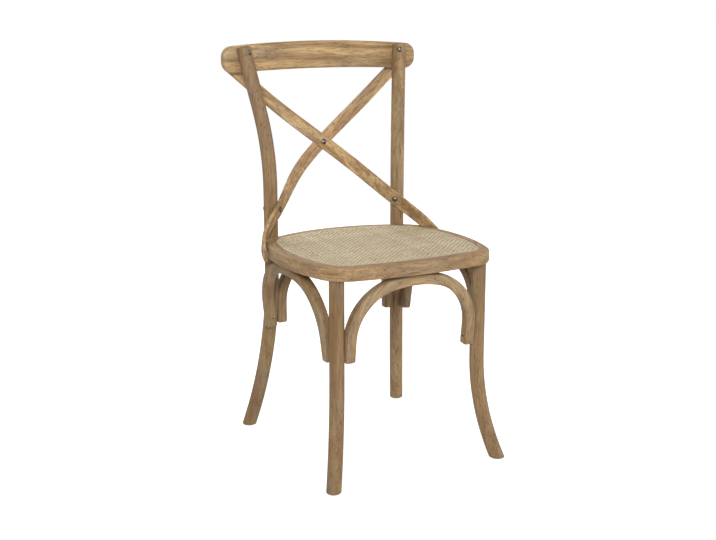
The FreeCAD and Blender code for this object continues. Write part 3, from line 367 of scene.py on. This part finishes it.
def oak(name, directions, seed, warmth, tone_and_shade):
    """Oak finish for one piece, with its grain along the given directions."""
    material, tree, shader = finish_of(name)
    # The three colours are scaled by the piece's tone: partly its own colour, partly painted
    # light and shade.
    pale, pink, grey = (tuple(channel * tone_and_shade for channel in colour)
                        for colour in (OAK_LIGHT, OAK_PINK, OAK_GREY))
    a, b, along = directions(*ground(tree))
    a, b, along = (distance + seed * step
                   for distance, step in zip((a, b, along), SEED_STEPS))

    drift = noise(a, b, along, 5.0, 2.0) - 0.5
    wandering = a + drift * 0.035
    broad = noise(a, b, along * 0.45, 8.0, 3.0, 0.55).within(0.34, 0.68)
    rings = noise(wandering * 9.0, b * 9.0, along * 0.55, 7.0, 3.0, 0.6).within(0.38, 0.62)
    fine = noise(wandering * 20.0, b * 20.0, along * 0.9, 12.0, 4.0, 0.65)
    pores = noise(wandering * 45.0, b * 45.0, along * 2.2, 14.0, 2.0, 0.5).within(0.58, 0.68)
    blush = noise(a + 4.0, b, along * 0.6, 6.5, 2.0).within(0.45, 0.70)
    wash = noise(a * 2.0, b * 2.0 + 7.0, along * 0.5, 11.0, 3.0, 0.6).within(0.50, 0.78)

    colour = tint(pale, OAK_DARK, rings * 0.66 + broad * 0.30)
    colour = tint(colour, pink, blush * (0.30 + 0.45 * warmth))
    colour = tint(colour, grey, wash * (0.66 - 0.3 * warmth))
    colour = tint(colour, OAK_DARK, fine.within(0.46, 0.66) * 0.60)
    colour = tint(colour, PORE_BROWN, pores * 0.72)
    colour.plug(shader.inputs["Base Color"])
    (0.52 + fine * 0.22 + pores * 0.12).plug(shader.inputs["Roughness"])
    shader.inputs["Specular IOR Level"].default_value = 0.35
    relief(shader, fine * 0.5 - pores * 0.6, OAK_RELIEF)
    return material


def paint(node, material):
    """Give a solid part its finish."""
    slots = frame["nodes"][node].material_slots
    for entry in slots:
        entry.link = "OBJECT"
        entry.material = material


# The last number is the tone: partly the wood's own colour, partly painted light and shade, low
# for the posts, legs and under-seat arches and high for the rail and straps.
OAK_PIECES = [
    ("left_rear_post", grain_up, 0.3, 0.64),
    ("right_rear_post", grain_up, 0.4, 0.80),
    ("left_front_leg", grain_up, 0.4, 0.60),
    ("right_front_leg", grain_up, 0.3, 0.64),
    ("crest_rail", grain_sideways, 0.2, 1.14),
    ("seat_ring", grain_ring, 0.4, 0.84),
    ("cross_strap_front", grain_strap(1), 0.1, 1.22),
    ("cross_strap_rear", grain_strap(-1), 0.4, 1.22),
    ("front_arch", grain_arch, 0.1, 0.98),
    ("rear_arch", grain_arch, 0.4, 0.70),
    ("left_side_arch", grain_side_arch, 0.3, 0.70),
    ("right_side_arch", grain_side_arch, 0.5, 0.70),
]
for seed, (node, directions, warmth, tone_and_shade) in enumerate(OAK_PIECES, start=1):
    paint(node, oak("oak_" + node, directions, float(seed), warmth, tone_and_shade))
print("oak pieces", len(OAK_PIECES))

# %% [markdown]
# ## Weaving the cane
#
# The seat panel is flat strands of cane woven over and under each other, close together, with
# small gaps where four strands meet. Drawn as a picture on a flat sheet it would lose the gaps
# and the light on each strand. A strand is easy to model instead: a long narrow grid whose rows
# of points are lifted and lowered by a wave, then given a thickness. Each strand is as long as
# the seat is there, so we ask the solid panel: a ray sent in from outside hits its edge.

# %% How far the panel reaches
panel_low, panel_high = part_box("cane_panel")
guide = bmesh.new()
guide.from_mesh(frame["nodes"]["cane_panel"].data)
panel_tree = BVHTree.FromBMesh(guide)
guide.free()
MID_LEVEL = (panel_low.z + panel_high.z) / 2


def panel_reach(offset, lengthwise):
    """First and last place of the panel along a line at an offset, or None beside it."""
    found = []
    for sign in (1, -1):
        if lengthwise:
            start, direction = Vector((offset, -sign, MID_LEVEL)), Vector((0, sign, 0))
        else:
            start, direction = Vector((-sign, offset, MID_LEVEL)), Vector((sign, 0, 0))
        hit = panel_tree.ray_cast(start, direction)[0]
        if hit is None:
            return None
        found.append(hit.y if lengthwise else hit.x)
    return found


print("panel at its middle", [round(v, 3) for v in panel_reach(0.001, True)])

# %% [markdown]
# ### One strand, then a hundred
#
# `create_grid` lays the strip, and a cosine lifts it. Neighbours are shifted by half a wave, so
# one goes over where the next goes under. The strands that run the other way use the opposite
# wave. The edges of a strand are lower than its middle, because cane is the skin of a round
# stem.

# %% Strands
STRAND_PITCH = 0.0064
STRAND_WIDTH = 0.0045
STRAND_THICKNESS = 0.0007
WAVE_HEIGHT = 0.00100
STEPS_PER_CROSSING = 4
EDGE_DROP = 0.00022
WEAVE_DEPTH = 0.0012
WEAVE_LEVEL = panel_high.z - WEAVE_DEPTH


def add_strand(weave, offset, lengthwise, number):
    """One wavy strip across the panel."""
    reach = panel_reach(offset, lengthwise)
    if reach is None or reach[1] - reach[0] < STRAND_PITCH:
        return 0
    first, last = reach
    length = last - first
    steps = max(2, round(length / STRAND_PITCH * STEPS_PER_CROSSING))
    before = len(weave.verts)
    bmesh.ops.create_grid(weave, x_segments=steps, y_segments=2, size=0.5)
    weave.verts.ensure_lookup_table()
    opposite = 0 if lengthwise else 1
    for vert in weave.verts[before:]:
        place = first + (vert.co.x + 0.5) * length
        side = vert.co.y * 2.0
        wave = math.cos(math.pi * (place / STRAND_PITCH + number + opposite))
        height = WEAVE_LEVEL + wave * WAVE_HEIGHT - abs(side) * EDGE_DROP
        across = offset + side * STRAND_WIDTH / 2
        vert.co = (across, place, height) if lengthwise else (place, across, height)
    return 1


def weave_cane(name, lengthwise):
    """All the strands that run one way, as one piece."""
    low = panel_low.x if lengthwise else panel_low.y
    high = panel_high.x if lengthwise else panel_high.y
    weave = bmesh.new()
    count = 0
    first_number = math.ceil(low / STRAND_PITCH)
    for number in range(first_number, math.floor(high / STRAND_PITCH) + 1):
        count += add_strand(weave, number * STRAND_PITCH, lengthwise, number)
    bmesh.ops.recalc_face_normals(weave, faces=weave.faces)
    for face in weave.faces:
        if face.normal.z < 0:
            face.normal_flip()
    bmesh.ops.solidify(weave, geom=weave.faces[:], thickness=STRAND_THICKNESS)
    for face in weave.faces:
        face.smooth = True
    mesh = bpy.data.meshes.new(name)
    weave.to_mesh(mesh)
    weave.free()
    piece = bpy.data.objects.new(name, mesh)
    bpy.context.scene.collection.objects.link(piece)
    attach(piece, "root")
    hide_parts("cane_panel")
    print(name, count, "strands,", len(mesh.polygons) * 2, "triangles")
    return piece


cane_lengthwise = weave_cane("cane_lengthwise", True)
cane_crosswise = weave_cane("cane_crosswise", False)

# %% [markdown]
# ### Cane's own finish
#
# Cane is pale straw with a soft shine, fine lines along each strand, and some strands yellower
# than their neighbours. Rounding the distance across to whole strands gives each one a number
# of its own, which a noise turns into a tone. Painted shade darkens the low places where a strand
# dives under the next, standing in for the shadow between strands, and the height of a point
# tells us where that is.

# %% Cane and reed
CANE_PALE = (0.900, 0.760, 0.510)
REED_PALE = (0.600, 0.480, 0.300)
CANE_DEEP = (0.440, 0.330, 0.175)
CANE_STAIN = (0.300, 0.200, 0.095)
# Painted shade for the low places where a strand dives under the next, and the heights over which
# it fades.
CANE_PAINTED_SHADE = (0.060, 0.042, 0.024)
SHADE_BELOW, SHADE_ABOVE = 0.0005, 0.0006
CANE_RELIEF, REED_RELIEF = 0.0001, 0.0002


def cane(name, lengthwise):
    """Straw finish for the strands that run one way."""
    material, tree, shader = finish_of(name)
    x, y, z = ground(tree)
    across, along = (x, y) if lengthwise else (y, x)
    strand = (across / STRAND_PITCH).math("ROUND")
    own_tone = noise(strand * 3.71, along * 2.0, strand * 1.3, 1.0, 1.0).within(0.30, 0.70)
    lines = noise(across * 40.0, along, z * 40.0, 60.0, 2.0).within(0.35, 0.70)
    stain = noise(across * 1.2, along * 0.8, strand * 0.7, 26.0, 2.0).within(0.60, 0.76)
    # Painted shade: the lower a point of a strand lies, the darker it is painted.
    painted_gap_shade = 1.0 - z.within(WEAVE_LEVEL - SHADE_BELOW, WEAVE_LEVEL + SHADE_ABOVE)
    colour = tint(CANE_PALE, CANE_DEEP, own_tone * 0.60 + lines * 0.25)
    colour = tint(colour, CANE_STAIN, stain * 0.45)
    colour = tint(colour, CANE_PAINTED_SHADE, painted_gap_shade * 0.95)
    colour.plug(shader.inputs["Base Color"])
    (0.42 + lines * 0.15).plug(shader.inputs["Roughness"])
    relief(shader, lines, CANE_RELIEF)
    return material


cane_lengthwise.data.materials.append(cane("cane_strands_lengthwise", True))
cane_crosswise.data.materials.append(cane("cane_strands_crosswise", False))


def reed(name):
    """Round reed of the border: pale, with fibres that run round the seat."""
    material, tree, shader = finish_of(name)
    reach, level, along = grain_ring(*ground(tree))
    lines = noise(reach * 30.0, level * 30.0, along, 40.0, 3.0).within(0.35, 0.70)
    mottle = noise(reach, level, along, 30.0, 2.0).within(0.4, 0.7)
    colour = tint(REED_PALE, CANE_DEEP, lines * 0.40 + mottle * 0.35)
    colour.plug(shader.inputs["Base Color"])
    shader.inputs["Roughness"].default_value = 0.5
    relief(shader, lines, REED_RELIEF)
    return material


paint("cane_spline", reed("reed_border"))
print("cane finished")

# %% [markdown]
# ## Dark metal and floor glides
#
# The bolts are steel with a dark antique finish that has worn bright on the domes. Metal needs
# little paint: most of what we see is what it reflects, so the work is in its roughness. The
# glides under the feet are plain pale plastic with a faint mottle.

# %% Metal and plastic
METAL_DARK = (0.050, 0.043, 0.037)
METAL_WORN = (0.240, 0.220, 0.195)
METAL_RELIEF = 0.00005
GLIDE_PALE = (0.74, 0.73, 0.70)
GLIDE_GREY = (0.55, 0.54, 0.51)


def antique_metal():
    material, tree, shader = finish_of("antique_metal")
    x, y, z = ground(tree)
    patches = noise(x, y, z, 220.0, 3.0, 0.6).within(0.40, 0.62)
    colour = tint(METAL_DARK, METAL_WORN, patches)
    colour.plug(shader.inputs["Base Color"])
    shader.inputs["Metallic"].default_value = 1.0
    (0.40 - patches * 0.14).plug(shader.inputs["Roughness"])
    relief(shader, patches, METAL_RELIEF)
    return material


def glide_plastic():
    material, tree, shader = finish_of("glide_plastic")
    x, y, z = ground(tree)
    mottle = noise(x, y, z, 90.0, 2.0).within(0.4, 0.7)
    tint(GLIDE_PALE, GLIDE_GREY, mottle * 0.5).plug(shader.inputs["Base Color"])
    (0.45 + mottle * 0.15).plug(shader.inputs["Roughness"])
    return material


METAL_PIECES = [entry["node"] for entry in frame["record"]["subparts"]
                if entry["material_slot"] == "antique_steel"]
metal = antique_metal()
for node in METAL_PIECES:
    paint(node, metal)
paint("floor_glides", glide_plastic())
print("metal pieces", len(METAL_PIECES))
